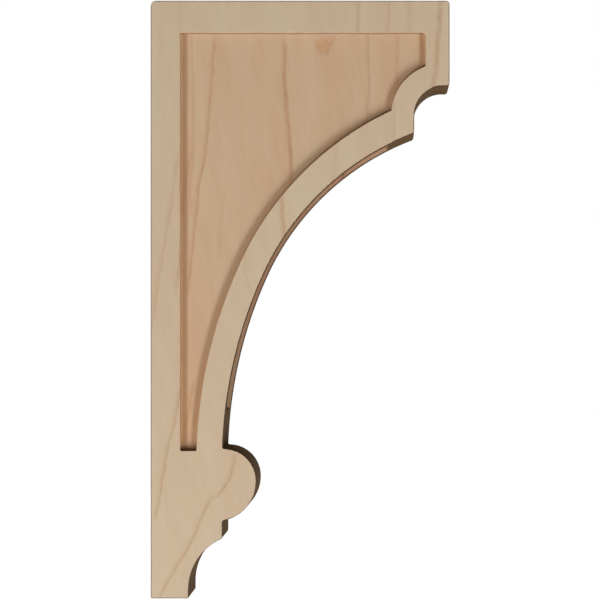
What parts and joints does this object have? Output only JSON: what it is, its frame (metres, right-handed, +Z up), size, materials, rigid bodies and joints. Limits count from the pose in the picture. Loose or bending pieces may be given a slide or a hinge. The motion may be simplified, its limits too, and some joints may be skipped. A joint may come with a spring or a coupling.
{
  "type": "wooden corbel bracket",
  "caption": "Flat wooden corbel with a square nose, a cove, a long hollow front edge with a broad groove, a round knob and a shallow sunk panel in each side face.",
  "frame": {"origin": "centre of the flat back face, where the bracket meets the wall", "axes": "+X out from the wall towards the nose, +Y across the thickness, +Z up towards the shelf"},
  "size_m": [0.254, 0.0444, 0.508],
  "materials": {
    "wood": "planed and sanded pale hardwood, matt"
  },
  "bodies": {
    "root": {"corbel": "wood"}
  },
  "joints": []
}
